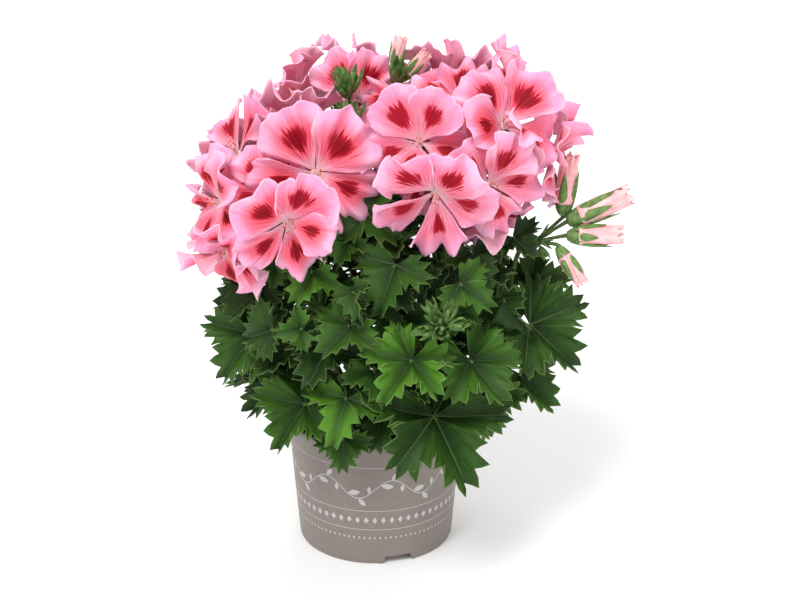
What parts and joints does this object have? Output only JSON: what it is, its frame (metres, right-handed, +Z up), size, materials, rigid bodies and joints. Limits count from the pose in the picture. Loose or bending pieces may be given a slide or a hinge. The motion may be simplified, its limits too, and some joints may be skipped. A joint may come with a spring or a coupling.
{
  "type": "potted regal pelargonium",
  "caption": "Flowering regal pelargonium plant with pink blotched blooms and toothed leaves, growing in a tapered plastic nursery pot.",
  "frame": {"origin": "centre of the pot's underside, on the surface that it stands on", "axes": "+Z up through the plant, the front that the picture shows faces -Y, +X to its right"},
  "size_m": [0.2833, 0.2473, 0.345],
  "materials": {
    "pot_plastic": "satin",
    "soil": "matte",
    "woody_stem": "matte",
    "foliage": "satin",
    "green_stalk": "satin",
    "petals": "matte",
    "pink_buds": "matte"
  },
  "bodies": {
    "root": {"bloom_back_1": "petals", "bloom_back_2": "petals", "bloom_back_3": "petals", "bloom_left_1": "petals", "bloom_left_2": "petals", "bloom_left_3": "petals", "bloom_left_4": "petals", "bloom_left_5": "petals", "bloom_left_6": "petals", "bloom_left_7": "petals", "bloom_right_1": "petals", "bloom_right_10": "petals", "bloom_right_2": "petals", "bloom_right_3": "petals", "bloom_right_4": "petals", "bloom_right_5": "petals", "bloom_right_6": "petals", "bloom_right_7": "petals", "bloom_right_8": "petals", "bloom_right_9": "petals", "buds_front": "green_stalk", "buds_front_left": "green_stalk", "buds_right": "green_stalk", "buds_top": "green_stalk", "crown": "woody_stem", "pink_bud_right_1": "pink_buds", "pink_bud_right_2": "pink_buds", "pink_bud_right_3": "pink_buds", "pink_bud_right_4": "pink_buds", "pink_bud_top_1": "pink_buds", "pink_bud_top_2": "pink_buds", "pot": "pot_plastic", "shoot_back": "foliage", "shoot_back_left": "foliage", "shoot_back_right": "foliage", "shoot_front": "foliage", "shoot_front_left": "foliage", "shoot_inner_right": "foliage", "shoot_left": "foliage", "shoot_middle": "foliage", "shoot_right": "foliage", "soil": "soil", "truss_back": "green_stalk", "truss_left": "green_stalk", "truss_right": "green_stalk"}
  },
  "joints": []
}
